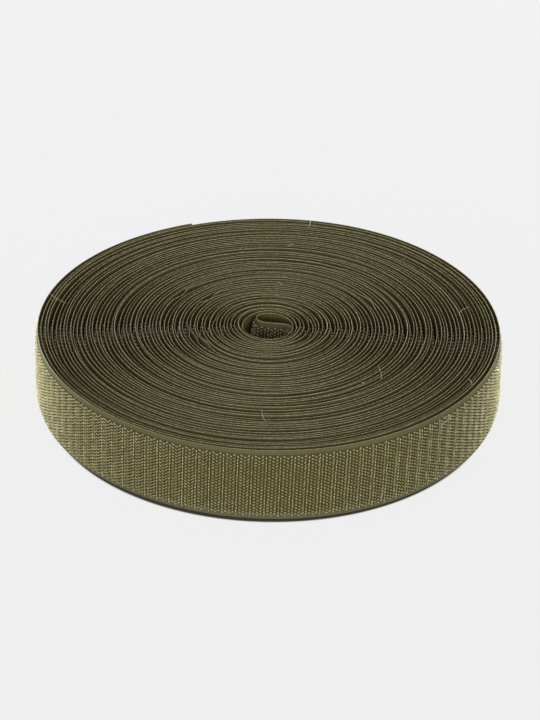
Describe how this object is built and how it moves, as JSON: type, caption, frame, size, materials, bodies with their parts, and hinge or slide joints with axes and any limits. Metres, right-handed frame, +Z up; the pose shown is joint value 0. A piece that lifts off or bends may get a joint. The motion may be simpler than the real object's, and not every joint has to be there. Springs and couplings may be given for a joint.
{
  "type": "hook tape roll",
  "caption": "Flat coreless roll of olive green woven hook tape, wound with the hooks out, with a tail that peels away from the rim and a loose curled inner end in the bore.",
  "frame": {"origin": "centre of the roll's outline, on the surface that it lies on", "axes": "+Z up along the roll's axis; -Y towards the side that the picture shows; +X to the right there"},
  "size_m": [0.2276, 0.2266, 0.038],
  "materials": {
    "hook_tape": "matte"
  },
  "bodies": {
    "roll": {"wound_tape": "hook_tape"},
    "tongue": {"inner_end": "hook_tape"},
    "tail_1": {"tail_stretch_1": "hook_tape"},
    "tail_2": {"tail_stretch_2": "hook_tape"},
    "tail_3": {"tail_stretch_3": "hook_tape"},
    "tail_4": {"tail_stretch_4": "hook_tape"},
    "tail_5": {"tail_stretch_5": "hook_tape"},
    "tail_6": {"tail_stretch_6": "hook_tape"}
  },
  "joints": [
    {"name": "tongue_flex", "type": "hinge", "parent": "roll", "child": "tongue", "pos_m": [-0.00095, 0.00258, 0.019], "axis": [0, 0, 1], "range_deg": [-30, 0]},
    {"name": "tail_fold_1", "type": "hinge", "parent": "roll", "child": "tail_1", "pos_m": [-0.10562, -0.0402, 0.019], "axis": [0, 0, 1], "range_deg": [0, 20]},
    {"name": "tail_fold_2", "type": "hinge", "parent": "tail_1", "child": "tail_2", "pos_m": [-0.11265, -0.01134, 0.019], "axis": [0, 0, 1], "range_deg": [0, 20]},
    {"name": "tail_fold_3", "type": "hinge", "parent": "tail_2", "child": "tail_3", "pos_m": [-0.11196, 0.01838, 0.019], "axis": [0, 0, 1], "range_deg": [0, 20]},
    {"name": "tail_fold_4", "type": "hinge", "parent": "tail_3", "child": "tail_4", "pos_m": [-0.1036, 0.04693, 0.019], "axis": [0, 0, 1], "range_deg": [0, 20]},
    {"name": "tail_fold_5", "type": "hinge", "parent": "tail_4", "child": "tail_5", "pos_m": [-0.08812, 0.07237, 0.019], "axis": [0, 0, 1], "range_deg": [0, 20]},
    {"name": "tail_fold_6", "type": "hinge", "parent": "tail_5", "child": "tail_6", "pos_m": [-0.06657, 0.09295, 0.019], "axis": [0, 0, 1], "range_deg": [0, 20]}
  ],
  "couplings": [
    {"joint": "tail_fold_2", "follows": "tail_fold_1", "ratio": 1},
    {"joint": "tail_fold_3", "follows": "tail_fold_1", "ratio": 1},
    {"joint": "tail_fold_4", "follows": "tail_fold_1", "ratio": 1},
    {"joint": "tail_fold_5", "follows": "tail_fold_1", "ratio": 1},
    {"joint": "tail_fold_6", "follows": "tail_fold_1", "ratio": 1}
  ]
}
